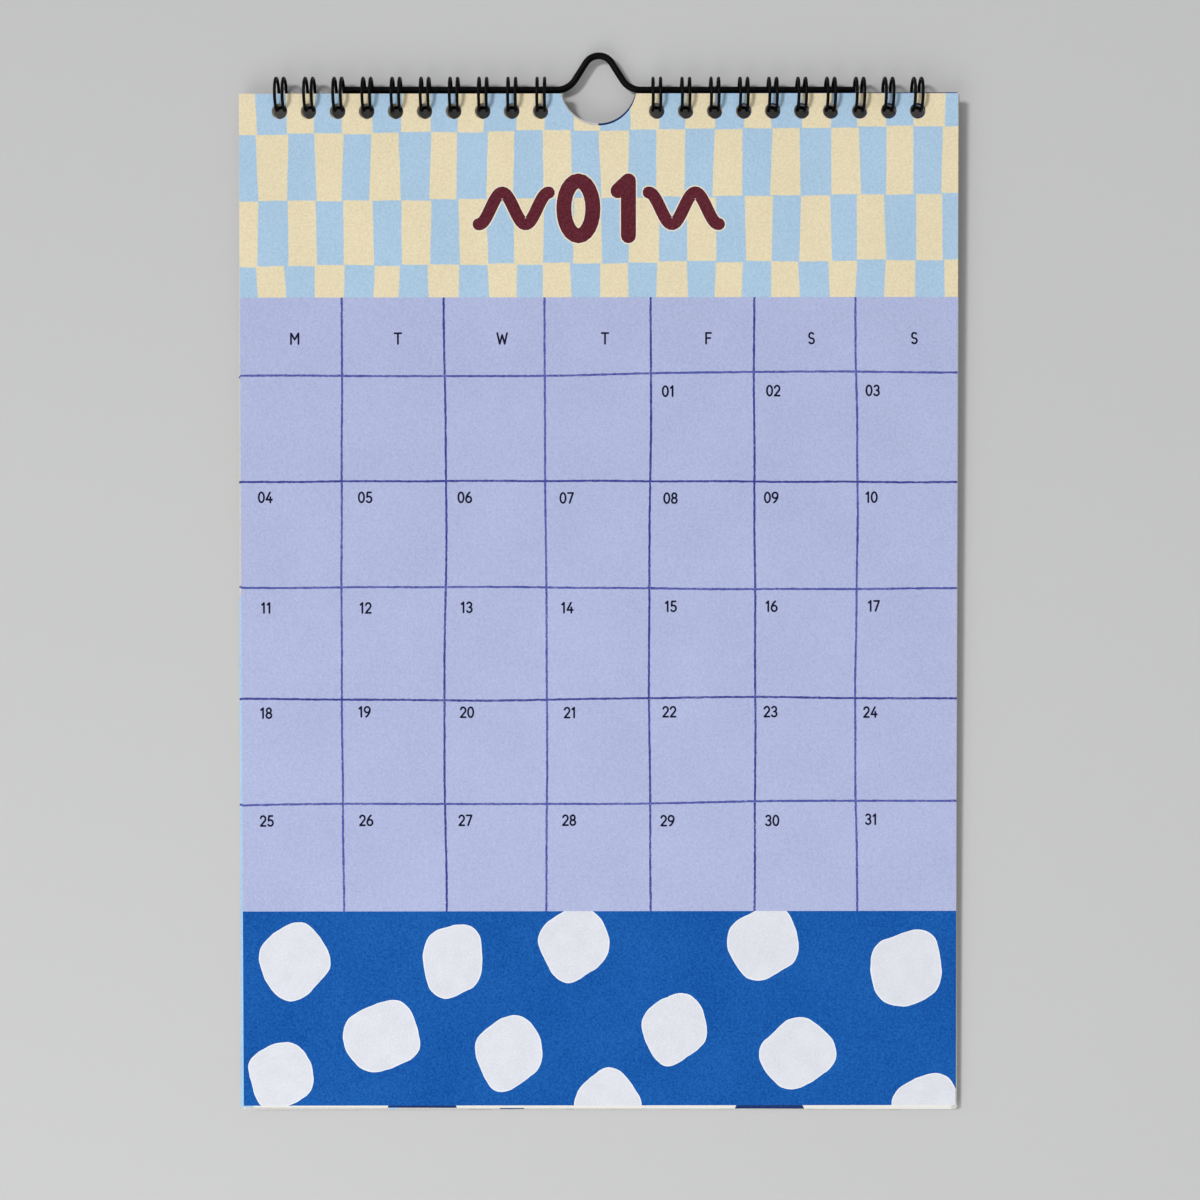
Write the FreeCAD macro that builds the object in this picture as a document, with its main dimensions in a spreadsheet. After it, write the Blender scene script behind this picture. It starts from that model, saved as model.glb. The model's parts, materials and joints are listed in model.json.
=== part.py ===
"""A wire-bound wall calendar, hanging from a nail.

The frame has +Z up and the calendar's front towards -Y. The origin is where the nail carries
the hanger: the underside of the bump in the middle of the hanger wire. Units are millimetres.
"""
import FreeCAD
import Part
import math
import os
import Sketcher

Vector = FreeCAD.Vector
Constraint = Sketcher.Constraint

SIZES = {
    # The A4 sheets and what they are cut with.
    "sheet_width": 210,
    "sheet_height": 297,
    "leaf_thickness": 0.25,
    "leaf_gap": 0.1,
    "block_thickness": 2.08,
    "card_thickness": 0.7,
    "hole_pitch": 8.467,
    "hole_clearance": 0.75,
    "hole_slack": 0.5,
    "side_margin": 9.5,
    "thumb_radius": 11,
    "thumb_rise": 1.7,
    # The twin loops, bent from one wire on each side of the thumb cut.
    "loop_wire": 0.9,
    "loop_radius": 4.6,
    "loop_spread": 2.2,
    "loop_rise": 0.3,
    "seam_angle": -35,
    "base_arc": 14,
    "tip_arc": 21,
    "bridge_bend": 0.75,
    "stub_length": 1.5,
    # The hanger wire and the bump that goes over the nail.
    "hanger_wire": 2,
    "hanger_length": 150,
    "bump_rise": 10,
    "leg_angle": 57.5,
    "top_bend": 4.5,
    "foot_bend": 6.4,
    "end_round": 0.3,
    "rod_lift": 1.05,
    "rod_clearance": 0.1,
}

# Heights and depths in the row's frame, as expressions on the sizes.
ROD_Z = "-(sizes.bump_rise - sizes.hanger_wire / 2)"
SHEET_TOP = "-(sizes.bump_rise + sizes.rod_lift)"
STACK = "(sizes.leaf_thickness + sizes.leaf_gap + sizes.block_thickness + sizes.card_thickness)"
ROD_ABOVE_LOOP = "(sizes.hanger_wire / 2 + sizes.rod_lift - sizes.loop_rise)"
ROD_REACH = "(sizes.loop_radius - sizes.loop_wire / 2 - sizes.hanger_wire / 2 - sizes.rod_clearance)"
LOOP_Y = f"-sqrt({ROD_REACH}^2 - {ROD_ABOVE_LOOP}^2)"
HOLE_RADIUS = "((sizes.loop_spread + sizes.loop_wire) / 2 + sizes.hole_clearance)"
HOLE_DROP = "(sizes.loop_radius + sizes.hole_slack)"
# The hole places over the thumb cut are left out.
SKIPPED = "(ceil(sizes.thumb_radius / sizes.hole_pitch) - 1)"
HOLES_A_SIDE = f"(floor((sizes.sheet_width / 2 - sizes.side_margin) / sizes.hole_pitch) - {SKIPPED})"

# Two places closer than this are taken as the same place.
NEAR = 0.001

doc = FreeCAD.newDocument("wall_calendar")


def make_sheet():
    """Write the driving dimensions into the spreadsheet."""
    sheet = doc.addObject("Spreadsheet::Sheet", "sizes")
    for row, (alias, number) in enumerate(SIZES.items(), start=1):
        sheet.set(f"A{row}", alias)
        sheet.set(f"B{row}", str(number))
        sheet.setAlias(f"B{row}", alias)
    doc.recompute()
    return sheet


sizes = make_sheet()


def origin_plane(body, role):
    """Find one of a body's own origin planes."""
    return next(plane for plane in body.Origin.OriginFeatures if plane.Role == role)


def new_sketch(body, name, role):
    """Add an empty sketch on one of the body's origin planes."""
    sketch = body.newObject("Sketcher::SketchObject", name)
    sketch.AttachmentSupport = [(origin_plane(body, role), "")]
    sketch.MapMode = "FlatFace"
    return sketch


def bound(sketch, constraint, name, expression):
    """Add a constraint and bind its value to the sizes."""
    index = sketch.addConstraint(constraint)
    sketch.renameConstraint(index, name)
    sketch.setExpression(f"Constraints.{name}", expression)


def circle(sketch, name, radius, x_place, y_place):
    """Add a unit circle, then bind its radius and centre to the sizes."""
    index = sketch.addGeometry(Part.Circle(Vector(1, 1, 0), Vector(0, 0, 1), 1), False)
    bound(sketch, Constraint("Radius", index, 1), f"{name}_radius", radius)
    bound(sketch, Constraint("DistanceX", -1, 1, index, 3, 1), f"{name}_x", x_place)
    bound(sketch, Constraint("DistanceY", -1, 1, index, 3, 1), f"{name}_y", y_place)


def outline(body):
    """Draw a sheet's outline: its top edge on the sketch's axis, the rest below."""
    sketch = new_sketch(body, "Outline", "XZ_Plane")
    half = SIZES["sheet_width"] / 2
    low = -SIZES["sheet_height"]
    corners = [Vector(-half, 0, 0), Vector(half, 0, 0), Vector(half, low, 0), Vector(-half, low, 0)]
    for start, end in zip(corners, corners[1:] + corners[:1]):
        sketch.addGeometry(Part.LineSegment(start, end), False)
    for side in range(4):
        sketch.addConstraint(Constraint("Coincident", side, 2, (side + 1) % 4, 1))
    for side, direction in enumerate(("Horizontal", "Vertical", "Horizontal", "Vertical")):
        sketch.addConstraint(Constraint(direction, side))
    sketch.addConstraint(Constraint("Symmetric", 0, 1, 0, 2, -1, 1))
    bound(sketch, Constraint("DistanceX", 0, 1, 0, 2, 2 * half), "width", "sizes.sheet_width")
    bound(sketch, Constraint("DistanceY", 1, 2, 1, 1, -low), "height", "sizes.sheet_height")
    return sketch


def cut_through(body, sketch, name):
    """Cut a sketch's circles through the whole thickness."""
    before = body.Shape.Volume
    pocket = body.newObject("PartDesign::Pocket", name)
    pocket.Profile = sketch
    pocket.Type = "ThroughAll"
    pocket.Midplane = True
    doc.recompute()
    if body.Shape.Volume >= before:
        raise ValueError(f"{body.Label}: {name} cut nothing")
    return pocket


def make_stack_piece(label, thickness, back):
    """Make a sheet, or a block of sheets, with the thumb cut and both rows of holes."""
    body = doc.addObject("PartDesign::Body", label)
    body.Label = label
    pad = body.newObject("PartDesign::Pad", "Thickness")
    pad.Profile = outline(body)
    pad.setExpression("Length", thickness)
    doc.recompute()

    thumb = new_sketch(body, "ThumbCut", "XZ_Plane")
    circle(thumb, "thumb", "sizes.thumb_radius", "0", "sizes.thumb_rise")
    cut_through(body, thumb, "ThumbPocket")

    holes = new_sketch(body, "Holes", "XZ_Plane")
    first_right = f"({SKIPPED} + 1) * sizes.hole_pitch"
    first_left = f"-({HOLES_A_SIDE} + {SKIPPED}) * sizes.hole_pitch"
    for name, place in (("left", first_left), ("right", first_right)):
        circle(holes, name, HOLE_RADIUS, place, f"-{HOLE_DROP}")
    pocket = cut_through(body, holes, "FirstHoles")

    rows = body.newObject("PartDesign::LinearPattern", "HoleRows")
    rows.Originals = [pocket]
    rows.Direction = (holes, ["H_Axis"])
    rows.setExpression("Occurrences", HOLES_A_SIDE)
    rows.setExpression("Length", f"({HOLES_A_SIDE} - 1) * sizes.hole_pitch")
    body.Tip = rows
    body.setExpression("Placement.Base.y", f"{LOOP_Y} - {STACK} / 2 + {back}")
    body.setExpression("Placement.Base.z", SHEET_TOP)
    return body


def bump_path(body):
    """Draw the hanger's centreline: straight, up over the nail, and straight again."""
    path = new_sketch(body, "Centreline", "XZ_Plane")
    turn = math.radians(SIZES["leg_angle"])
    rise, foot, top = SIZES["bump_rise"], SIZES["foot_bend"], SIZES["top_bend"]
    leg = (rise - (foot + top) * (1 - math.cos(turn))) / math.sin(turn)
    base = (foot + top) * math.sin(turn) + leg * math.cos(turn)
    end = SIZES["hanger_length"] / 2
    foot_x, foot_y = base - foot * math.sin(turn), foot * (1 - math.cos(turn))
    top_x, top_y = top * math.sin(turn), rise - top * (1 - math.cos(turn))
    up = Vector(0, 0, 1)
    right = math.pi / 2

    def arc(x, y, radius, first, last):
        return Part.ArcOfCircle(Part.Circle(Vector(x, y, 0), up, radius), first, last)

    pieces = [
        Part.LineSegment(Vector(-end, 0, 0), Vector(-base, 0, 0)),
        arc(-base, foot, foot, -right, turn - right),
        Part.LineSegment(Vector(-foot_x, foot_y, 0), Vector(-top_x, top_y, 0)),
        arc(0, rise - top, top, right - turn, right + turn),
        Part.LineSegment(Vector(top_x, top_y, 0), Vector(foot_x, foot_y, 0)),
        arc(base, foot, foot, -right - turn, -right),
        Part.LineSegment(Vector(base, 0, 0), Vector(end, 0, 0)),
    ]
    for piece in pieces:
        path.addGeometry(piece, False)
    # Each pair is a piece's end and the next piece's start. The top arc runs the other way round.
    joints = [(0, 2, 1, 1), (1, 2, 2, 1), (2, 2, 3, 2), (3, 1, 4, 1), (4, 2, 5, 1), (5, 2, 6, 1)]
    for joint in joints:
        path.addConstraint(Constraint("Tangent", *joint))
    path.addConstraint(Constraint("PointOnObject", 0, 1, -1))
    path.addConstraint(Constraint("Horizontal", 0))
    path.addConstraint(Constraint("Horizontal", 6))
    path.addConstraint(Constraint("PointOnObject", 3, 3, -2))
    path.addConstraint(Constraint("Symmetric", 0, 1, 6, 2, -2))
    path.addConstraint(Constraint("Equal", 1, 5))
    bound(path, Constraint("DistanceX", 0, 1, 6, 2, 2 * end), "length", "sizes.hanger_length")
    bound(path, Constraint("Radius", 1, foot), "foot", "sizes.foot_bend")
    bound(path, Constraint("Radius", 3, top), "top", "sizes.top_bend")
    bound(path, Constraint("Angle", 2, turn), "leg", "sizes.leg_angle * 1 deg")
    bound(path, Constraint("DistanceY", -1, 1, 3, 3, rise - top), "rise", "sizes.bump_rise - sizes.top_bend")
    return path


def make_hanger():
    """Bend the hanger: a round wire swept along its centreline, with eased ends."""
    body = doc.addObject("PartDesign::Body", "hanger")
    body.Label = "hanger"
    path = bump_path(body)
    section = new_sketch(body, "Section", "YZ_Plane")
    section.setExpression("AttachmentOffset.Base.z", "-sizes.hanger_length / 2")
    circle(section, "wire", "sizes.hanger_wire / 2", "0", "0")
    sweep = body.newObject("PartDesign::AdditivePipe", "Wire")
    sweep.Profile = section
    sweep.Spine = path
    doc.recompute()
    check_sweep("hanger", sweep.Shape.Volume, sizes.hanger_wire / 2, path.Shape.Length)

    end = SIZES["hanger_length"] / 2
    rims = [f"Edge{number}" for number, edge in enumerate(sweep.Shape.Edges, start=1)
            if edge.BoundBox.XLength < NEAR and abs(abs(edge.CenterOfMass.x) - end) < NEAR]
    ends = body.newObject("PartDesign::Fillet", "EasedEnds")
    ends.Base = (sweep, rims)
    ends.setExpression("Radius", "sizes.end_round")
    body.setExpression("Placement.Base.z", ROD_Z)
    return body


def check_sweep(label, volume, radius, length):
    """A bent wire's volume is its section times its length."""
    expected = math.pi * radius ** 2 * length
    print(f"{label}: {length:.1f} mm of wire, volume {volume:.3f}, expected {expected:.3f}")
    if abs(volume - expected) > 0.001 * expected:
        raise ValueError(f"{label}: the sweep has the wrong volume")


class LoopShape:
    """The places on one twin loop, seen along X, with x left free."""

    def __init__(self):
        self.radius = sizes.loop_radius
        self.half = sizes.loop_spread / 2
        self.bend = sizes.bridge_bend
        self.base = math.radians(sizes.seam_angle + sizes.base_arc)
        self.tip = math.radians(sizes.seam_angle + 360 - sizes.tip_arc)

    def ring(self, x, angle):
        """The ring's centreline at this angle, counted from the back (+Y) up towards +Z."""
        return Vector(x, self.radius * math.cos(angle), self.radius * math.sin(angle))

    def along(self, angle):
        """The ring's direction at this angle."""
        return Vector(0, -math.sin(angle), math.cos(angle))

    def rising(self, x):
        """One wire of the loop, from its base to its tip."""
        middle = (self.base + self.tip) / 2
        places = [self.ring(x, angle) for angle in (self.base, middle, self.tip)]
        return Part.Arc(*places).toShape()

    def tip_turn(self, x):
        """The round end that joins the loop's two wires."""
        far = self.ring(x, self.tip) + self.along(self.tip) * self.half
        return Part.Arc(self.ring(x - self.half, self.tip), far, self.ring(x + self.half, self.tip)).toShape()

    def base_turn(self, x, side):
        """The quarter turn from the base of a wire into the bridge, and the bridge's end."""
        outward = Vector(side, 0, 0)
        down = self.along(self.base) * -1
        start = self.ring(x, self.base)
        centre = start + outward * self.bend
        middle = centre + (down - outward) * (self.bend * math.sqrt(0.5))
        end = centre + down * self.bend
        return Part.Arc(start, middle, end).toShape(), end


def loop_wire_path(places):
    """The centreline of one binding wire: a stub, the loops with their bridges, and a stub."""
    loop = LoopShape()
    stub = Vector(sizes.stub_length, 0, 0)
    edges = []
    last = loop.base_turn(places[0] - loop.half, -1)[1] - stub
    for x in places:
        turn_in, bridge_end = loop.base_turn(x - loop.half, -1)
        turn_out, bridge_start = loop.base_turn(x + loop.half, 1)
        edges += [Part.makeLine(last, bridge_end), turn_in, loop.rising(x - loop.half)]
        edges += [loop.tip_turn(x), loop.rising(x + loop.half), turn_out]
        last = bridge_start
    edges.append(Part.makeLine(last, last + stub))
    return Part.Wire(Part.__sortEdges__(edges))


def make_binding_wire(label, places):
    """Bend a row of twin loops from one round wire."""
    path = loop_wire_path(places)
    radius = sizes.loop_wire / 2
    end = min(path.Vertexes, key=lambda vertex: vertex.X).Point
    section = Part.Wire(Part.makeCircle(radius, end, Vector(1, 0, 0)))
    shape = path.makePipe(Part.Face(section))
    check_sweep(label, shape.Volume, radius, path.Length)

    wire = doc.addObject("Part::Feature", label)
    wire.Label = label
    wire.Shape = shape
    wire.setExpression("Placement.Base.y", LOOP_Y)
    wire.setExpression("Placement.Base.z", f"{SHEET_TOP} + sizes.loop_rise")
    return wire


def make_pieces():
    """Make every piece of the calendar, from front to back, then the wires."""
    leaf = "sizes.leaf_thickness"
    block = "sizes.block_thickness"
    block_back = f"({leaf} + sizes.leaf_gap + {block})"
    pieces = [
        make_stack_piece("front_leaf", leaf, leaf),
        make_stack_piece("leaf_block", block, block_back),
        make_stack_piece("back_card", "sizes.card_thickness", STACK),
        make_hanger(),
    ]
    first = math.ceil(sizes.thumb_radius / sizes.hole_pitch)
    last = math.floor((sizes.sheet_width / 2 - sizes.side_margin) / sizes.hole_pitch)
    right = [place * sizes.hole_pitch for place in range(first, last + 1)]
    left = [-x for x in reversed(right)]
    pieces.append(make_binding_wire("binding_wire_left", left))
    pieces.append(make_binding_wire("binding_wire_right", right))
    return pieces


def check_and_write(pieces):
    """Refuse a failed object or a broken solid, then write each piece to its file."""
    doc.recompute()
    for item in doc.Objects:
        if {"Invalid", "Error"} & set(item.State):
            raise ValueError(f"{item.Label}: {item.State}")
    for piece in pieces:
        if piece.Shape.isNull() or not piece.Shape.isValid() or len(piece.Shape.Solids) != 1:
            raise ValueError(f"{piece.Label}: not one valid solid")
    os.makedirs("parts", exist_ok=True)
    for piece in pieces:
        box = piece.Shape.BoundBox
        piece.Shape.exportStep(f"parts/{piece.Label}.step")
        print(f"{piece.Label}: {piece.Shape.Volume:.1f} mm3, x {box.XMin:.2f} to {box.XMax:.2f}, "
              f"y {box.YMin:.3f} to {box.YMax:.3f}, z {box.ZMin:.2f} to {box.ZMax:.2f}")


check_and_write(make_pieces())
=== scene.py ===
# %% [markdown]
# # A wire-bound wall calendar
# The CAD frame holds the solids: a hanger wire, two bent binding wires, the front leaf, a block of leaves and
# a card. This notebook dresses them. The wires and the card keep their solids and get a finish. The leaves
# are printed sheets, so each is a thin mesh of its own whose front is cut into fields of ink.

import json
import math
import random

import bpy
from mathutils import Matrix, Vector
from mathutils.geometry import delaunay_2d_cdt

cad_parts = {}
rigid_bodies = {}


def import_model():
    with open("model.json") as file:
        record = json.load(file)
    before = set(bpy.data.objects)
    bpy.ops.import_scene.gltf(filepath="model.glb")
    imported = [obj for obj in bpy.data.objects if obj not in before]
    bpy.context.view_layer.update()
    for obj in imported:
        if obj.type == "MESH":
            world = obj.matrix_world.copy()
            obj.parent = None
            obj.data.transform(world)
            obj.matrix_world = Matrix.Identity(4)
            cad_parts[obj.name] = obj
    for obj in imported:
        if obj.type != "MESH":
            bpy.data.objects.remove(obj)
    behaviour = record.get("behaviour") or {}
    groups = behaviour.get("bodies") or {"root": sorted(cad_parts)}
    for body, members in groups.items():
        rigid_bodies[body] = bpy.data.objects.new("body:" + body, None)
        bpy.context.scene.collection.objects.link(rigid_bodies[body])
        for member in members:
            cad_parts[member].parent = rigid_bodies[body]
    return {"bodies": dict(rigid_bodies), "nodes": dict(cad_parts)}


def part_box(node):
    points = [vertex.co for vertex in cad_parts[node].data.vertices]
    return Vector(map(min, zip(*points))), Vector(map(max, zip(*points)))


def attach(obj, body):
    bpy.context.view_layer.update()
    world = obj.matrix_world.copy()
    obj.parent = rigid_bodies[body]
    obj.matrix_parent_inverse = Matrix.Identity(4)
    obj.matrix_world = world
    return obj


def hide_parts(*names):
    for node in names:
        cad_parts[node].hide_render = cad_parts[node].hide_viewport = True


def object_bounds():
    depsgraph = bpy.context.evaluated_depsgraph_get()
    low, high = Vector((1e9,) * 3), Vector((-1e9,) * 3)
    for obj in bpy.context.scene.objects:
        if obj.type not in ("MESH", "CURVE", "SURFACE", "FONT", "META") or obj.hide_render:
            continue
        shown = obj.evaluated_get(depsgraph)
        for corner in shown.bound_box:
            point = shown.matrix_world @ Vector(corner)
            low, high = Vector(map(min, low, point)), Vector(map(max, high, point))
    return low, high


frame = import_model()
nodes = frame["nodes"]
cad_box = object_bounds()
print("CAD box in metres:", [tuple(round(c, 4) for c in corner) for corner in cad_box])

# %% [markdown]
# ## Shader sums in Python
# A finish is a small board of nodes. Wiring each one by hand hides what it says, so a socket is wrapped in a
# class that understands plus, minus and times. An expression such as `1 - mask` then adds its own Math node.

# %% A socket that can be used in sums
class Sock:
    """One output of a node on a board."""

    def __init__(self, board, socket):
        self.board = board
        self.socket = socket

    def _sum(self, operation, first, second):
        return self.board.node("ShaderNodeMath", {"operation": operation}, {0: first, 1: second})

    def __add__(self, other):
        return self._sum("ADD", self, other)

    def __mul__(self, other):
        return self._sum("MULTIPLY", self, other)

    def __rsub__(self, other):
        return self._sum("SUBTRACT", other, self)

    __radd__ = __add__
    __rmul__ = __mul__


class Board:
    """The node board of one material."""

    def __init__(self, name):
        self.material = bpy.data.materials.new(name)
        self.material.use_nodes = True
        self.tree = self.material.node_tree
        self.tree.nodes.clear()

    def node(self, kind, settings=None, inputs=None, output=0):
        """Add a node: first its settings, then values or links for its inputs. Gives one output."""
        made = self.tree.nodes.new(kind)
        for name, value in (settings or {}).items():
            setattr(made, name, value)
        for key, value in (inputs or {}).items():
            if isinstance(value, Sock):
                self.tree.links.new(value.socket, made.inputs[key])
            else:
                made.inputs[key].default_value = value
        return Sock(self, made.outputs[output])

    def mix(self, factor, first, second):
        """A colour between two. The node takes them as inputs 6 and 7 and gives output 2."""
        return self.node("ShaderNodeMix", {"data_type": "RGBA"}, {0: factor, 6: first, 7: second}, 2)

    def place(self, stretch=(1, 1, 1)):
        """The place on the piece in metres, which stays on the piece when it moves."""
        where = self.node("ShaderNodeTexCoord", output="Object")
        if stretch == (1, 1, 1):
            return where
        return self.node("ShaderNodeMapping", {}, {"Vector": where, "Scale": stretch})

    def noise(self, size, detail=2.0, stretch=(1, 1, 1)):
        """Noise whose lumps are about that many metres across."""
        settings = {"Vector": self.place(stretch), "Scale": 1 / size, "Detail": detail}
        return self.node("ShaderNodeTexNoise", {}, settings)

    def steps(self, value, low, high):
        """0 below low, 1 above high, and a ramp between them."""
        return self.node("ShaderNodeMapRange", {}, {"Value": value, "From Min": low, "From Max": high})

    def finish(self, **sockets):
        """End the board in a Principled shader. Numbers stay on the shader's own sockets."""
        named = {name.replace("_", " "): value for name, value in sockets.items()}
        shader = self.node("ShaderNodeBsdfPrincipled", {}, named)
        self.node_end(shader)
        return self.material

    def node_end(self, shader):
        end = self.tree.nodes.new("ShaderNodeOutputMaterial")
        self.tree.links.new(shader.socket, end.inputs["Surface"])


def srgb(red, green, blue):
    """A colour as read off a screen, 0 to 255, as the linear colour that a shader takes."""
    def linear(value):
        value /= 255
        return value / 12.92 if value <= 0.04045 else ((value + 0.055) / 1.055) ** 2.4
    return (linear(red), linear(green), linear(blue), 1.0)


def tint(rgb, step):
    """The same screen colour, lighter or darker by some of its 255 steps, as a linear colour."""
    return srgb(*(min(255, max(0, value + step)) for value in rgb))


print("black reads as", srgb(0, 0, 0)[:3])

# %% [markdown]
# ## Ink on uncoated paper
# The leaves are matt paper with flat ink. Up close the ink is speckled, because it sinks unevenly into the
# fibres, and it drifts a little over the sheet. A picture of paper could do this, but a noise in real
# millimetres stays sharp at any distance and needs no file. So every ink is one function with its colour.

# %% Paper inks
FIBRE = 0.0006
TOOTH = 0.00012


def ink(name, rgb, grain=10):
    """Matt ink: fine speckle of so many steps, slow drift of the tone, and the sheet's tooth as a bump."""
    board = Board(name)
    fine = board.noise(FIBRE, 3.0)
    slow = board.noise(0.02, 2.0)
    tone = board.steps(fine * 0.8 + slow * 0.2, 0.3, 0.7)
    colour_out = board.mix(tone, tint(rgb, -grain), tint(rgb, grain))
    fibres = board.noise(TOOTH, 2.0, (1, 1, 0.35))
    bump = board.node("ShaderNodeBump", {}, {"Strength": 0.25, "Distance": 0.00006,
                                             "Height": fine * 0.5 + fibres * 0.5})
    roughness = board.steps(fine, 0.0, 1.0) * 0.12 + 0.76
    return board.finish(Base_Color=colour_out, Roughness=roughness, Normal=bump, Specular_IOR_Level=0.12)


def crayon(name, rgb, paper, cover):
    """A crayon line: the wax sits on the tooth of the sheet and leaves specks of the ink below."""
    board = Board(name)
    grains = board.noise(0.0004, 2.0)
    press = board.noise(0.01, 2.0)
    bare = board.steps(grains + press * 0.3, cover, cover + 0.3)
    tone = board.steps(board.noise(0.003, 2.0), 0.3, 0.7)
    wax = board.mix(tone, tint(rgb, -8), tint(rgb, 8))
    colour_out = board.mix(bare * 0.6, wax, tint(paper, 0))
    bump = board.node("ShaderNodeBump", {}, {"Strength": 0.3, "Distance": 0.00005, "Height": 1 - bare})
    return board.finish(Base_Color=colour_out, Roughness=0.6, Normal=bump, Specular_IOR_Level=0.2)


def brushed(name, rgb):
    """Thick white paint, dabbed on with a turn of the brush: ridges run round the middle of each dab."""
    board = Board(name)
    dab = board.node("ShaderNodeAttribute", {"attribute_name": "dab"}, output="Vector")
    rings = board.node("ShaderNodeTexWave", {"wave_type": "RINGS", "rings_direction": "SPHERICAL"},
                       {"Vector": dab, "Scale": 520.0, "Distortion": 5.0, "Detail": 3.0,
                        "Detail Scale": 1.2}, "Fac")
    swirl = board.noise(0.005, 3.0)
    grain = board.noise(0.0006, 3.0)
    tone = board.steps(rings * 0.15 + swirl * 0.4 + grain * 0.45, 0.3, 0.7)
    colour_out = board.mix(tone, tint(rgb, -8), tint(rgb, 8))
    relief = rings * 0.3 + swirl * 0.6 + grain * 0.3
    bump = board.node("ShaderNodeBump", {}, {"Strength": 0.3, "Distance": 0.0002, "Height": relief})
    return board.finish(Base_Color=colour_out, Roughness=0.6, Normal=bump, Specular_IOR_Level=0.2)


LILAC = (178, 186, 222)
INKS = {
    "sky": ink("ink_sky", (173, 203, 227)),
    "cream": ink("ink_cream", (234, 220, 185)),
    "lilac": ink("ink_lilac", LILAC),
    "cobalt": ink("ink_cobalt", (14, 87, 168), grain=17),
    "paint": brushed("ink_white_paint", (223, 225, 233)),
    # The rim ink is a painted highlight: a lighter white ring round each dab, where light would catch the
    # raised paint.
    "rim": ink("ink_white_painted_highlight", (237, 239, 245), grain=6),
    "crayon": crayon("crayon_navy", (50, 56, 142), LILAC, 0.66),
    "crayon_thin": crayon("crayon_navy_thin", (70, 77, 160), LILAC, 0.64),
    "charcoal": ink("ink_charcoal", (18, 18, 48), grain=5),
    "burgundy": ink("ink_burgundy", (94, 34, 46), grain=14),
    "pale": ink("ink_pale", (236, 228, 205)),
    "navy": ink("ink_navy", (30, 52, 104)),
    "orange": ink("ink_orange", (214, 132, 78)),
    "beige": ink("ink_beige", (214, 198, 172)),
    "sage": ink("ink_sage", (150, 166, 140)),
    "rose": ink("ink_rose", (222, 176, 176)),
    # Stone is a pale warm grey and partly painted shade: the narrow strips of the leaves behind the front one
    # are made as grey as they look in shade.
    "stone": ink("ink_stone_and_painted_shade", (206, 203, 198)),
    "paper": ink("paper_plain", (232, 231, 226), grain=4),
}
print("inks:", len(INKS))

# %% [markdown]
# ## Black wire and pale card
# Both wires are steel with a thin black coat, so they are dark, satin, and catch a soft light along their
# length. The coat is not quite even: it is a little rougher and greyer in patches. The card is plain
# greyboard. It shows only its edge and its back, where long fibres run through it.

# %% Finish the nodes that keep their solids
def coated_wire():
    board = Board("wire_black_coat")
    patches = board.steps(board.noise(0.004, 3.0), 0.35, 0.7)
    grain = board.noise(0.00025, 2.0)
    colour_out = board.mix(patches, srgb(3, 3, 4), srgb(7, 7, 8))
    bump = board.node("ShaderNodeBump", {}, {"Strength": 0.12, "Distance": 0.00003, "Height": grain})
    return board.finish(Base_Color=colour_out, Roughness=patches * 0.12 + 0.38, Normal=bump,
                        Specular_IOR_Level=0.09)


def greyboard():
    board = Board("card_greyboard")
    fibres = board.noise(0.0012, 4.0, (1, 1, 0.25))
    flecks = board.steps(board.noise(0.0007, 2.0), 0.66, 0.74)
    plain = board.mix(board.steps(fibres, 0.3, 0.7), srgb(196, 190, 180), srgb(216, 211, 202))
    colour_out = board.mix(flecks * 0.5, plain, srgb(150, 142, 130))
    bump = board.node("ShaderNodeBump", {}, {"Strength": 0.3, "Distance": 0.0001, "Height": fibres})
    return board.finish(Base_Color=colour_out, Roughness=0.85, Normal=bump)


WIRE = coated_wire()
CARD = greyboard()
for label, finish in (("hanger", WIRE), ("binding_wire_left", WIRE), ("binding_wire_right", WIRE),
                      ("back_card", CARD)):
    for slot in nodes[label].material_slots:
        slot.material = finish
    print(label, "has", nodes[label].material_slots[0].material.name)

# %% [markdown]
# ## Outlines to print with
# A print is a pile of flat outlines, each over the ones before. Three kinds do it all: a stroke of a round
# pen along a path, a rounded blob, and a hand-cut rectangle. All are lists of points in millimetres, from
# the middle of the sheet's top edge, with y up. The wobble comes from a seeded random number, so it is the
# same in each run.

# %% Strokes, blobs and hand-cut rectangles
def arc(x, y, across, up, start, end):
    """Points along part of an ellipse, with angles in degrees."""
    count = max(4, round(abs(end - start) / 15))
    turns = [math.radians(start + (end - start) * step / count) for step in range(count + 1)]
    return [(x + across * math.cos(turn), y + up * math.sin(turn)) for turn in turns]


def bend(first, pull, last, count=10):
    """Points along a curve from first to last that is pulled towards a third point."""
    points = []
    for step in range(count + 1):
        t = step / count
        weights = ((1 - t) ** 2, 2 * t * (1 - t), t * t)
        points.append(tuple(sum(w * p[axis] for w, p in zip(weights, (first, pull, last)))
                            for axis in (0, 1)))
    return points


ROUND_END = (60, 30, 0, -30, -60)


def stroke(path, width, chance=None, rough=0.0):
    """The outline of a round pen's stroke along a path. With a chance, its edges are rough."""
    points = [Vector(p) for p in path]
    left, right = [], []
    for at, point in enumerate(points):
        ahead = points[min(at + 1, len(points) - 1)] - points[max(at - 1, 0)]
        side = Vector((-ahead.y, ahead.x)).normalized()
        ragged = [chance.uniform(-rough, rough) if chance else 0.0 for _ in range(2)]
        left.append(point + side * (width / 2 + ragged[0]))
        right.append(point - side * (width / 2 + ragged[1]))
    start, end = (points[0] - points[1]).normalized(), (points[-1] - points[-2]).normalized()
    cap_end = [points[-1] + turned(end, angle) * width / 2 for angle in ROUND_END]
    cap_start = [points[0] + turned(start, angle) * width / 2 for angle in ROUND_END]
    return [tuple(p) for p in left + cap_end + right[::-1] + cap_start]


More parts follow.
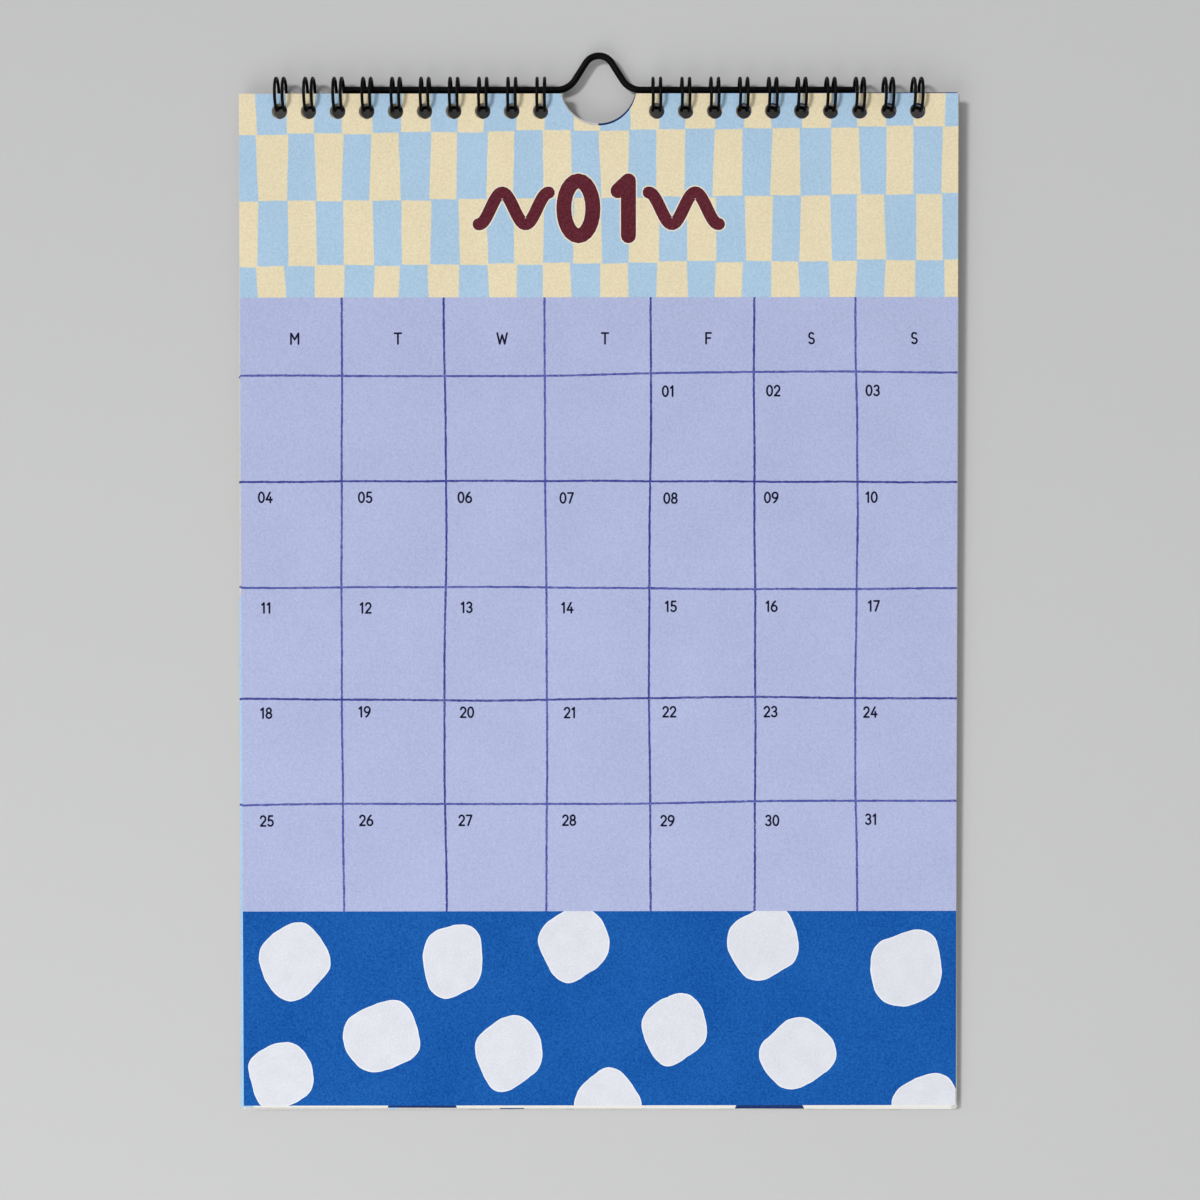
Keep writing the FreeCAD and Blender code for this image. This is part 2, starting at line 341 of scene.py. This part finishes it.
def turned(vector, degrees):
    angle = math.radians(degrees)
    return Vector((vector.x * math.cos(angle) - vector.y * math.sin(angle),
                   vector.x * math.sin(angle) + vector.y * math.cos(angle)))


def blob(x, y, wide, high, chance, count=120):
    """A dab of a round brush: nearly a circle, with four soft corners and an uneven edge."""
    corner = math.radians(chance.uniform(55, 85))
    lean = chance.uniform(0.4, 1.4)
    waves = [(4, 0.05, corner * 4), (2, 0.05, lean * 2), (3, 0.02, chance.uniform(0, 6)),
             (5, 0.012, chance.uniform(0, 6)), (8, 0.006, chance.uniform(0, 6)),
             (13, 0.004, chance.uniform(0, 6)), (21, 0.002, chance.uniform(0, 6))]
    points = []
    for step in range(count):
        turn = 2 * math.pi * step / count
        reach = 1 + sum(size * math.cos(number * turn - phase) for number, size, phase in waves)
        points.append((reach * math.cos(turn), reach * math.sin(turn)))
    low = [min(p[axis] for p in points) for axis in (0, 1)]
    high_end = [max(p[axis] for p in points) for axis in (0, 1)]
    return [(x + wide * ((p[0] - low[0]) / (high_end[0] - low[0]) - 0.5),
             y + high * ((p[1] - low[1]) / (high_end[1] - low[1]) - 0.5)) for p in points]


def hand_cut(corners, chance, rough=0.07, parts=5):
    """A rectangle with hand-drawn sides, through its four corners."""
    points = []
    for at, corner in enumerate(corners):
        following = corners[(at + 1) % len(corners)]
        points.append(tuple(corner))
        for step in range(1, parts):
            share = step / parts
            points.append(tuple(a + (b - a) * share + chance.uniform(-rough, rough)
                                for a, b in zip(corner, following)))
    return points


def box_outline(left, bottom, right, top):
    return [(left, bottom), (right, bottom), (right, top), (left, top)]


print("a pen stroke has", len(stroke([(0, 0), (1, 0)], 0.5)), "points")

# %% [markdown]
# ## Plain numbers
# The days need plain round numbers. A font would bring its own file and its own look, so each sign is a few
# strokes of a round pen in a box one unit high. The seven initials over the columns are made the same way.

# %% A small stroke alphabet
SIGNS = {
    "0": (0.56, [arc(.28, .5, .25, .47, 0, 180), arc(.28, .5, .25, .47, 180, 360)]),
    "1": (0.36, [[(.06, .80), (.24, .97)], [(.24, .97), (.24, .03)]]),
    "2": (0.54, [arc(.27, .70, .23, .27, 165, -38), [(.45, .53), (.04, .03)], [(.04, .03), (.51, .03)]]),
    "3": (0.54, [arc(.26, .74, .21, .23, 150, -90), arc(.26, .27, .24, .24, 90, -150)]),
    "4": (0.58, [[(.38, .97), (.03, .28)], [(.03, .28), (.56, .28)], [(.41, .52), (.41, .03)]]),
    "5": (0.54, [[(.46, .97), (.13, .97)], [(.13, .97), (.09, .56)], arc(.26, .31, .25, .28, 130, -145)]),
    "6": (0.56, [arc(.28, .30, .25, .27, 0, 180), arc(.28, .30, .25, .27, 180, 360),
                 bend((.03, .32), (.08, .72), (.38, .97))]),
    "7": (0.54, [[(.04, .97), (.51, .97)], [(.51, .97), (.18, .03)]]),
    "8": (0.54, [arc(.27, .74, .20, .23, 0, 180), arc(.27, .74, .20, .23, 180, 360),
                 arc(.27, .27, .24, .24, 0, 180), arc(.27, .27, .24, .24, 180, 360)]),
    "9": (0.56, [arc(.28, .70, .25, .27, 0, 180), arc(.28, .70, .25, .27, 180, 360),
                 bend((.53, .68), (.50, .28), (.18, .03))]),
    "M": (0.76, [[(.05, .03), (.05, .97)], [(.05, .97), (.38, .42)], [(.38, .42), (.71, .97)],
                 [(.71, .97), (.71, .03)]]),
    "T": (0.64, [[(.03, .97), (.61, .97)], [(.32, .97), (.32, .03)]]),
    "W": (0.90, [[(.02, .97), (.23, .03)], [(.23, .03), (.45, .82)], [(.45, .82), (.67, .03)],
                 [(.67, .03), (.88, .97)]]),
    "F": (0.54, [[(.08, .97), (.08, .03)], [(.08, .97), (.52, .97)], [(.08, .52), (.45, .52)]]),
    "S": (0.54, [arc(.27, .73, .21, .24, 38, 270), arc(.27, .26, .23, .23, 90, -145)]),
}
SIGN_GAP = 0.16


def sign_paths(text, x, y, high, gap=SIGN_GAP):
    """The pen's paths for a few signs, centred on a point."""
    wide = sum(SIGNS[sign][0] for sign in text) + gap * (len(text) - 1)
    at, paths = -wide / 2, []
    for sign in text:
        for path in SIGNS[sign][1]:
            paths.append([(x + (at + p[0]) * high, y + (p[1] - 0.5) * high) for p in path])
        at += SIGNS[sign][0] + gap
    return paths


print("signs:", "".join(SIGNS))

# %% [markdown]
# ## One leaf as a solid sheet
# A leaf is one closed sheet of paper, and its print is cut out of its front. Boolean cuts for each outline
# would be slow and fragile. A constrained Delaunay cut takes all the outlines at once, splits the sheet into
# triangles that cross no outline, and says which outlines hold each one. The topmost of those gives the ink,
# and triangles in a hole are left out. The same triangles make the back, and walls join the two.

# %% Cut a page and give it thickness
SHEET_LOW, SHEET_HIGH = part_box("front_leaf")
SHEET_WIDTH = (SHEET_HIGH.x - SHEET_LOW.x) * 1000
SHEET_HEIGHT = (SHEET_HIGH.z - SHEET_LOW.z) * 1000
HOLE_PITCH = 8.467
HOLE_RADIUS = 2.3
HOLE_DEPTH = 5.1
HOLE_STEPS = [sign * step for sign in (-1, 1) for step in range(2, 12)]
THUMB_RADIUS = 11.0
THUMB_RISE = 1.7
THUMB_STEP = 3
FREE = -1


class Page:
    """One printed sheet as a pile of outlines, in millimetres from the middle of its top edge."""

    def __init__(self, spare=0.0, thumb_rise=THUMB_RISE):
        """Spare is how much longer than the front leaf the sheet is. The thumb cut's middle stands over
        its top edge by the thumb rise."""
        self.thumb_rise = thumb_rise
        half = SHEET_WIDTH / 2
        self.layers = [("paper", box_outline(-half, -SHEET_HEIGHT - spare, half, 0), FREE)]
        self.middles = {}

    def lay(self, colour, outline, band=FREE, middle=None):
        """Put an outline on top, cut off at the edge of the band with that number. Gives its own number."""
        turn = sum(a[0] * b[1] - b[0] * a[1] for a, b in zip(outline, outline[1:] + outline[:1]))
        self.layers.append((colour, outline if turn > 0 else outline[::-1], band))
        if middle:
            self.middles[len(self.layers) - 1] = Vector(middle)
        return len(self.layers) - 1

    def band(self, colour, top, bottom):
        """A field over the whole width, between two depths. What is off the sheet is dropped later."""
        half = SHEET_WIDTH / 2
        return self.lay(colour, box_outline(-half, -bottom, half, -top))

    def cut(self):
        """The page as flat triangles with their topmost layer, without its holes and thumb cut."""
        voids = [arc(step * HOLE_PITCH, -HOLE_DEPTH, HOLE_RADIUS, HOLE_RADIUS, 0, 345) for step in HOLE_STEPS]
        thumb = [math.radians(turn) for turn in range(0, 360, THUMB_STEP)]
        voids.append([(THUMB_RADIUS * math.cos(t), self.thumb_rise + THUMB_RADIUS * math.sin(t))
                      for t in thumb])
        layers = self.layers + [("void", outline, FREE) for outline in voids]
        points, loops = [], []
        for _, outline, _ in layers:
            loops.append(list(range(len(points), len(points) + len(outline))))
            points.extend(Vector(p) for p in outline)
        flat, _, faces, _, _, holders = delaunay_2d_cdt(points, [], loops, 1, 1e-5, True)
        kept, tops = [], []
        for face, holder in zip(faces, holders):
            holder = set(holder)
            top = max((n for n in holder if layers[n][2] in holder or layers[n][2] == FREE), default=0)
            if 0 in holder and layers[top][0] != "void":
                kept.append(face)
                tops.append(top)
        return flat, kept, tops


def leaf(name, page, front, thick, turn=0.0, slide=(0.0, 0.0)):
    """A closed sheet with the page on its front, turned in degrees about its top edge and slid in mm."""
    flat, faces, tops = page.cut()
    inks = [page.layers[top][0] for top in tops]
    used = sorted({n for face in faces for n in face})
    new = {old: number for number, old in enumerate(used)}
    faces = [[new[n] for n in face] for face in faces]
    places = [turned(flat[n], turn) + Vector(slide) for n in used]
    count = len(places)
    corners = [(p.x / 1000, y, SHEET_HIGH.z + p.y / 1000) for y in (front, front + thick) for p in places]
    edges = {(a, b) for face in faces for a, b in zip(face, face[1:] + face[:1])}
    rim = [edge for edge in edges if edge[::-1] not in edges]
    backs = [[n + count for n in reversed(face)] for face in faces]
    walls = [[b, a, a + count, b + count] for a, b in sorted(rim)]
    names = sorted(set(inks) | {"paper"})
    mesh = bpy.data.meshes.new(name)
    mesh.from_pydata(corners, [], faces + backs + walls)
    for colour in names:
        mesh.materials.append(INKS[colour])
    plain = names.index("paper")
    numbers = [names.index(colour) for colour in inks] + [plain] * (len(backs) + len(walls))
    mesh.polygons.foreach_set("material_index", numbers)
    if page.middles:
        dab = mesh.attributes.new("dab", "FLOAT_VECTOR", "POINT")
        for face, top in zip(faces, tops):
            if top in page.middles:
                for n in face:
                    away = flat[used[n]] - page.middles[top]
                    dab.data[n].vector = (away.x / 1000, 0, away.y / 1000)
    mesh.update()
    piece = bpy.data.objects.new(name, mesh)
    bpy.context.scene.collection.objects.link(piece)
    print(f"{name}: {len(mesh.polygons)} faces, {len(names)} inks")
    return piece


# %% [markdown]
# ## The front leaf
# Its print has three fields: a band of hand-cut checks, a lilac panel with a crayon grid, and a blue band
# with dabs of white paint, each with a painted highlight round its edge. The title's place holds a plain 01
# between two brush waves.

# %% The three fields of the front leaf
OVER = -5.0
HEADER_END = 59.3
PANEL_END = 239.5
UNDER = SHEET_HEIGHT + 5.0


def checks(page, band, chance, colour, rows, first, pitch):
    """Hand-cut checks: every second cell of each row, with the rows given by their depths left and right."""
    half = SHEET_WIDTH / 2
    cells = int(SHEET_WIDTH / pitch) + 2
    sides = [-half + first + pitch * (cell - 1) for cell in range(cells + 1)]
    for number, (above, below) in enumerate(zip(rows, rows[1:])):
        for cell in range(number % 2, cells, 2):
            left, right = sides[cell] + chance.uniform(-.6, .6), sides[cell + 1] + chance.uniform(-.6, .6)
            lean_left, lean_right = chance.uniform(-.4, .4), chance.uniform(-.4, .4)
            share = (left + half) / SHEET_WIDTH
            top = above[0] + (above[1] - above[0]) * share + chance.uniform(-.3, .3)
            bottom = below[0] + (below[1] - below[0]) * share + chance.uniform(-.3, .3)
            tilt = chance.uniform(-.2, .2)
            corners = [(left - lean_left, -bottom), (right - lean_right, -bottom + tilt),
                       (right + lean_right, -top + tilt), (left + lean_left, -top)]
            page.lay(colour, hand_cut(corners, chance), band)


def drawn_line(page, band, colour, start, end, chance, pen=0.64):
    """A line drawn by hand: it drifts from side to side, and its edges are ragged."""
    start, end = Vector(start), Vector(end)
    along = end - start
    side = Vector((-along.y, along.x)).normalized()
    count = round(along.length / 0.9)
    waves = [(chance.uniform(.15, .38), chance.uniform(.6, 1.6), chance.uniform(0, 6)),
             (chance.uniform(.04, .1), chance.uniform(3, 6), chance.uniform(0, 6))]
    path = []
    for step in range(count + 1):
        share = step / count
        drift = sum(size * math.sin(share * number * 2 * math.pi + phase) for size, number, phase in waves)
        path.append(start + along * share + side * drift)
    page.lay(colour, stroke(path, pen, chance, 0.07), band)


TITLE_MIDDLE = -33.4
TITLE_HIGH = 17.0
TITLE_GAP = 0.34
TITLE_PEN = 4.4
TITLE_RIM = 0.7
WAVE_PEN = 0.82
WAVE_START = 14.6
WAVE_RISE = 4.6
WAVE_LENGTH = 13.6
WAVE_STEPS = 42
WAVE_STRIDE = 0.5


def title(page, text):
    """A plain number with a brush wave on each side, over a pale outline."""
    outlines = [(path, TITLE_PEN) for path in sign_paths(text, 0.0, TITLE_MIDDLE, TITLE_HIGH, TITLE_GAP)]
    for side in (-1, 1):
        wave = []
        for step in range(WAVE_STEPS):
            along = step * WAVE_STRIDE
            rise = WAVE_RISE * math.cos(along / WAVE_LENGTH * 2 * math.pi)
            wave.append((side * (WAVE_START + along), TITLE_MIDDLE + rise))
        outlines.append((wave, TITLE_PEN * WAVE_PEN))
    for path, width in outlines:
        page.lay("pale", stroke(path, width + TITLE_RIM))
    for path, width in outlines:
        page.lay("burgundy", stroke(path, width))


DIGIT_PEN = 0.56
DIGIT_HIGH = 3.1
INITIALS = tuple(zip("MTWTFSS", (-89.0, -58.8, -28.3, 1.8, 32.0, 62.2, 92.3)))
INITIAL_ROW = -71.3
INITIAL_HIGH = 3.3
COLUMNS = (-97.9, -69.0, -39.1, -9.0, 20.5, 50.6, 80.1)
WEEK_ROWS = (86.5, 117.9, 149.9, 180.9, 212.6)
COLUMN_LINES = ((-75.4, "crayon_thin"), (-45.0, "crayon"), (-15.5, "crayon_thin"), (15.0, "crayon"),
                (45.6, "crayon"), (75.3, "crayon_thin"))
ROW_LINES = ((82.5, 81.0, "crayon_thin"), (113.3, 113.2, "crayon"), (144.0, 144.7, "crayon_thin"),
             (177.2, 176.6, "crayon"), (208.2, 207.0, "crayon_thin"))
ROW_REACH = 106


def grid(page, band, chance):
    """Six lines down and five across."""
    for x, colour in COLUMN_LINES:
        drawn_line(page, band, colour, (x, -HEADER_END), (x + chance.uniform(-.3, .5), -PANEL_END), chance)
    for left, right, colour in ROW_LINES:
        drawn_line(page, band, colour, (-ROW_REACH, -left), (ROW_REACH, -right), chance)


def days(page, first_column, count, chance):
    """The initials of the week, and a number in the corner of each day."""
    for sign, x in INITIALS:
        for path in sign_paths(sign, x, INITIAL_ROW, INITIAL_HIGH):
            page.lay("charcoal", stroke(path, DIGIT_PEN))
    for day in range(1, count + 1):
        row, column = divmod(day - 1 + first_column, 7)
        x = COLUMNS[column] + chance.uniform(-.5, .5)
        y = -WEEK_ROWS[row] + chance.uniform(-.25, .25)
        for path in sign_paths(f"{day:02d}", x, y, DIGIT_HIGH):
            page.lay("charcoal", stroke(path, DIGIT_PEN))


CHECK_ROWS = ((-1, -1), (11.9, 9.4), (31.5, 29.1), (50.2, 48.3), (61, 61))
CHECK_START = 5.4
CHECK_PITCH = 8.35
DABS = ((-89.8, 254.4, 21.1, 23.4), (-43.3, 254.4, 17.6, 22.0), (-7.6, 249.4, 21.1, 22.8),
        (48.1, 249.1, 21.1, 22.0), (90.3, 256.4, 21.1, 22.8), (-64.3, 276.4, 22.8, 21.4),
        (-26.8, 281.6, 19.9, 22.8), (22.0, 274.6, 19.3, 21.7), (58.4, 281.6, 22.8, 21.4),
        (-94.0, 288.1, 19.3, 19.9), (2.4, 297.0, 19.9, 22.6), (96.6, 299.0, 21.0, 23.0))
# Width in mm of the painted highlight round each dab of paint.
PAINTED_HIGHLIGHT_WIDTH = 0.35

january = Page()
chance = random.Random(7)
header = january.band("sky", OVER, HEADER_END)
panel = january.band("lilac", HEADER_END, PANEL_END)
footer = january.band("cobalt", PANEL_END, UNDER)
checks(january, header, chance, "cream", CHECK_ROWS, CHECK_START, CHECK_PITCH)
grid(january, panel, chance)
days(january, 4, 31, chance)
for x, depth, wide, high in DABS:
    dab = blob(x, -depth, wide, high, chance)
    # Each dab is a ring of lighter white, a painted highlight on its raised edge, with the paint laid inside
    # it.
    january.lay("rim", dab, footer)
    inner = [(x + (px - x) * (1 - 2 * PAINTED_HIGHLIGHT_WIDTH / wide), -depth + (py + depth) * (1 - 2 * PAINTED_HIGHLIGHT_WIDTH / high))
             for px, py in dab]
    january.lay("paint", inner, footer, (x, -depth))
title(january, "01")

front_leaf = leaf("leaf_january", january, SHEET_LOW.y, SHEET_HIGH.y - SHEET_LOW.y,
                  turn=0.06, slide=(-0.05, 0.22))
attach(front_leaf, "front_leaf")
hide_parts("front_leaf")

# %% [markdown]
# ## The second leaf
# It shows whole when the front leaf is turned up, and until then only as strips: its striped header in the
# thumb cut, which is a little shallower than the front one, its panel down the left side, and its bunting
# along the foot, where it hangs a little lower.

# %% The second leaf
STRIPE = 20.5
STRIPES = range(-2, 3)
FLAGS = range(-6, 6)
FLAG_HIGH = 22
FLAG_FOOT = 268
POINT_RISE = 1.2
MARGIN = 4


def awning(page, band, colour):
    """Plain upright stripes, as on an awning."""
    for stripe in STRIPES:
        left = stripe * 2 * STRIPE
        page.lay(colour, box_outline(left, -HEADER_END, left + STRIPE, -OVER), band)


def bunting(page, band, colours, bottom):
    """A row of plain triangles, point down, but for two that stand on their flat side."""
    for cell in FLAGS:
        left = cell * STRIPE
        stands = cell % 5 == 2
        flat_side, point = (0, FLAG_HIGH) if stands else (FLAG_HIGH, POINT_RISE)
        colour = colours[0] if stands else colours[1 + cell % (len(colours) - 1)]
        page.lay(colour, [(left, flat_side - bottom), (left + STRIPE, flat_side - bottom),
                          (left + STRIPE / 2, point - bottom)], band)


SECOND_FIELD = 146.5
SECOND_SPARE = 0.7
SHALLOWER = 0.9

february = Page(SECOND_SPARE, THUMB_RISE + SHALLOWER)
chance = random.Random(12)
# Its header and panel are stone, a grey that is partly painted shade on the strips that show.
header = february.band("stone", OVER, HEADER_END)
panel = february.band("stone", HEADER_END, PANEL_END)
february.band("sky", SECOND_FIELD, PANEL_END)
footer = february.band("paper", PANEL_END, UNDER)
awning(february, header, "navy")
bunting(february, footer, ("navy", "orange", "sage", "sky"), SHEET_HEIGHT + SECOND_SPARE)
bunting(february, footer, ("orange", "navy", "sky"), FLAG_FOOT)
february.lay("sky", box_outline(-SHEET_WIDTH / 2, -UNDER, -SHEET_WIDTH / 2 + MARGIN, -PANEL_END), footer)
grid(february, panel, chance)
days(february, 0, 28, chance)
title(february, "02")

# %% [markdown]
# ## The ten leaves after it
# These show only their edges, as beige down the right side and pale strips with bits of colour at the foot.
# One block would look like a board, so each is a sheet of its own, with a hair of air between them, and hangs
# a little askew. Each row gives a turn in degrees, a slide to the right and the spare length, both in
# millimetres, and the colours of three fields.

# %% The leaves after it
BLOCK_LOW, BLOCK_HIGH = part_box("leaf_block")
# The footers are mostly stone, a grey that is partly painted shade on the strips along the foot.
LEAVES = (
    (0.18, -0.20, 0.90, ("navy", "beige", "stone")),
    (0.02, -0.10, 0.80, ("cream", "lilac", "paper")),
    (0.04, 0.38, 1.05, ("beige", "paper", "stone")),
    (-0.03, -0.10, 1.00, ("paper", "stone", "stone")),
    (0.05, 0.10, 1.20, ("orange", "rose", "paper")),
    (-0.02, 0.00, 1.25, ("sage", "cream", "stone")),
    (0.06, 0.25, 1.35, ("beige", "sky", "stone")),
    (-0.04, 0.10, 1.40, ("navy", "paper", "stone")),
    (0.03, 0.30, 1.50, ("rose", "beige", "stone")),
    (0.00, 0.15, 1.60, ("stone", "stone", "stone")),
)
PITCH = (BLOCK_HIGH.y - BLOCK_LOW.y) / (len(LEAVES) + 1)
PAPER_SHARE = 0.82
LEAF_THICK = PITCH * PAPER_SHARE
LEAF_UP = 0.35
FLECKS = 12
FLECK_NARROW = 1.5
FLECK_WIDE = 8
FLECK_HIGH = 17
FLECK_COLOURS = ("stone", "rose", "sky", "beige", "sage", "stone", "navy", "paper")


def plain_page(spare, colours, chance):
    """A page with three fields, and a few blocks of colour along its foot."""
    page = Page(spare + LEAF_UP)
    for colour, top, bottom in zip(colours, (OVER, HEADER_END, PANEL_END), (HEADER_END, PANEL_END, UNDER)):
        page.band(colour, top, bottom)
    for _ in range(FLECKS):
        left = chance.uniform(-SHEET_WIDTH / 2, SHEET_WIDTH / 2 - FLECK_WIDE)
        right = left + chance.uniform(FLECK_NARROW, FLECK_WIDE)
        page.lay(chance.choice(FLECK_COLOURS), box_outline(left, -UNDER, right, FLECK_HIGH - UNDER))
    return page


chance = random.Random(5)
stack = [(-0.14, (-0.15, 0.0), february)]
stack += [(turn, (right, LEAF_UP), plain_page(spare, colours, chance))
          for turn, right, spare, colours in LEAVES]
for number, (turn, slide, page) in enumerate(stack):
    piece = leaf(f"leaf_{number + 2:02d}", page, BLOCK_LOW.y + number * PITCH, LEAF_THICK, turn, slide)
    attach(piece, "bound_calendar")
    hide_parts("leaf_block")

# %% [markdown]
# ## Wall, floor and light
# The loops hold the top of the sheets a little off the wall, and the bottom rests on it, so the wall leans by
# under a degree in the calendar's frame. That gives the photograph's shadow, which is wide at the top and
# narrow at the bottom. The wall goes with the calendar when that swings, and a second one stands far behind.
# Each plane shows from its front alone, so that the back can be looked at too, and it lets the lamps through
# to what the camera sees, but not to what only bounces light on.

# %% Two walls and a floor
# A ray from a surface to a lamp counts as one bounce more than the surface, so the first ones count 1.
FIRST_RAYS = 1.5


def backdrop_finish(name, rgb, drift):
    """Matt paint with a faint drift of tone, clear from behind and to the first rays that seek lamps."""
    board = Board(name)
    cloud = board.steps(board.noise(0.5, 1.0), 0.3, 0.7)
    colour_out = board.mix(cloud, tint(rgb, -drift), tint(rgb, drift))
    matt = board.node("ShaderNodeBsdfDiffuse", {}, {"Color": colour_out})
    clear = board.node("ShaderNodeBsdfTransparent")
    behind = board.node("ShaderNodeNewGeometry", output="Backfacing")
    seeking = board.node("ShaderNodeLightPath", output="Is Shadow Ray")
    bounces = board.node("ShaderNodeLightPath", output="Ray Depth")
    first = board.node("ShaderNodeMath", {"operation": "LESS_THAN"}, {0: bounces, 1: FIRST_RAYS})
    through = board.node("ShaderNodeMath", {"operation": "MAXIMUM"}, {0: behind, 1: seeking * first})
    board.node_end(board.node("ShaderNodeMixShader", {}, {0: through, 1: matt, 2: clear}))
    return board.material


def backdrop(name, corners, finish):
    mesh = bpy.data.meshes.new(name)
    mesh.from_pydata(corners, [], [(0, 1, 2, 3)])
    mesh.materials.append(finish)
    piece = bpy.data.objects.new(name, mesh)
    bpy.context.scene.collection.objects.link(piece)
    return piece


WALL_GAP = 0.0002
FLOOR_Z = -1.3
FAR_WALL_Y = 0.9
REACH = 3.0
LOOP_Z = sum(corner.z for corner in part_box("binding_wire_left")) / 2
CARD_LOW, CARD_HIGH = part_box("back_card")
lean = (cad_box[1].y - CARD_HIGH.y) / (LOOP_Z - CARD_LOW.z)


def wall_y(z):
    """The near wall's place at a height: behind the loops at the top, behind the card at the bottom."""
    return cad_box[1].y + WALL_GAP + (z - LOOP_Z) * lean


def upright(name, low_y, high_y):
    """A wall as wide as the room, with its foot and its top at two depths."""
    return backdrop(name, [(-REACH, low_y, FLOOR_Z), (REACH, low_y, FLOOR_Z),
                           (REACH, high_y, REACH), (-REACH, high_y, REACH)], PAINT)


PAINT = backdrop_finish("wall_paint", (201, 201, 201), 1)
near_wall = upright("wall", wall_y(FLOOR_Z), wall_y(REACH))
near_wall.parent = frame["bodies"]["bound_calendar"]
upright("far_wall", FAR_WALL_Y, FAR_WALL_Y)
backdrop("floor", [(-REACH, -REACH, FLOOR_Z), (REACH, -REACH, FLOOR_Z), (REACH, FAR_WALL_Y, FLOOR_Z),
                   (-REACH, FAR_WALL_Y, FLOOR_Z)], PAINT)
print(f"the wall leans by {math.degrees(math.atan(lean)):.2f} degrees")

# %% [markdown]
# The photograph's light is even and comes from the left: the shadows lie as far to the right all over it, so
# a wide soft sun does it better than a near lamp. A broad weak lamp below makes the picture brighter towards
# its foot. A third lamp shines from behind and above, because the back of the card would look black in a view
# from behind. The near wall faces away from it, and it is kept out of reflections, so that it puts no glints
# on the wires.

# %% Lamps and world
CENTRE = Vector((0.00035, SHEET_LOW.y, -0.1587))
SUN_SPREAD = math.radians(11)
FOOT_LAMP_SIZE = 0.7
ROOM_COLOUR = (0.98, 0.99, 1.0, 1.0)
ROOM_LIGHT = 0.385


def lamp(name, kind, across, up, distance, power):
    """A lamp that faces the sheet's middle, at angles in degrees from straight ahead."""
    across, up = math.radians(across), math.radians(up)
    toward = Vector((math.sin(across) * math.cos(up), -math.cos(across) * math.cos(up), math.sin(up)))
    light = bpy.data.lights.new(name, kind)
    light.energy = power
    made = bpy.data.objects.new(name, light)
    made.location = CENTRE + toward * distance
    made.rotation_euler = toward.to_track_quat("Z", "Y").to_euler()
    bpy.context.scene.collection.objects.link(made)
    print(f"{name}: {kind}, power {power}")
    return light


lamp("soft_sun", "SUN", -31, 13, 1.3, 1.6).angle = SUN_SPREAD
lamp("foot_lamp", "AREA", -24, -38, 0.95, 2.9).size = FOOT_LAMP_SIZE
lamp("rear_sun", "SUN", 180, 40, 1.3, 2.6).angle = SUN_SPREAD
bpy.data.objects["rear_sun"].visible_glossy = False
world = bpy.data.worlds.new("soft_room")
world.use_nodes = True
background = world.node_tree.nodes["Background"]
background.inputs["Color"].default_value = ROOM_COLOUR
background.inputs["Strength"].default_value = ROOM_LIGHT
bpy.context.scene.world = world
bpy.context.scene.view_settings.view_transform = "Standard"

# %% [markdown]
# ## The camera
# The photograph looks almost straight at the sheet. The sheet's bottom edge is one part in ninety narrower
# than its top, so the camera stands a little over a degree above the middle.

# %% Camera
CAMERA_DISTANCE = 0.65
CAMERA_RISE = math.radians(1.35)
VIEW_WIDTH = 0.3521

camera = bpy.data.cameras.new("camera")
camera.sensor_fit = "HORIZONTAL"
camera.angle = 2 * math.atan(VIEW_WIDTH / 2 / CAMERA_DISTANCE)
camera.clip_start = 0.01
viewer = bpy.data.objects.new("camera", camera)
viewer.location = CENTRE + Vector((0, -math.cos(CAMERA_RISE), math.sin(CAMERA_RISE))) * CAMERA_DISTANCE
viewer.rotation_euler = (math.pi / 2 - CAMERA_RISE, 0, 0)
bpy.context.scene.collection.objects.link(viewer)
bpy.context.scene.camera = viewer
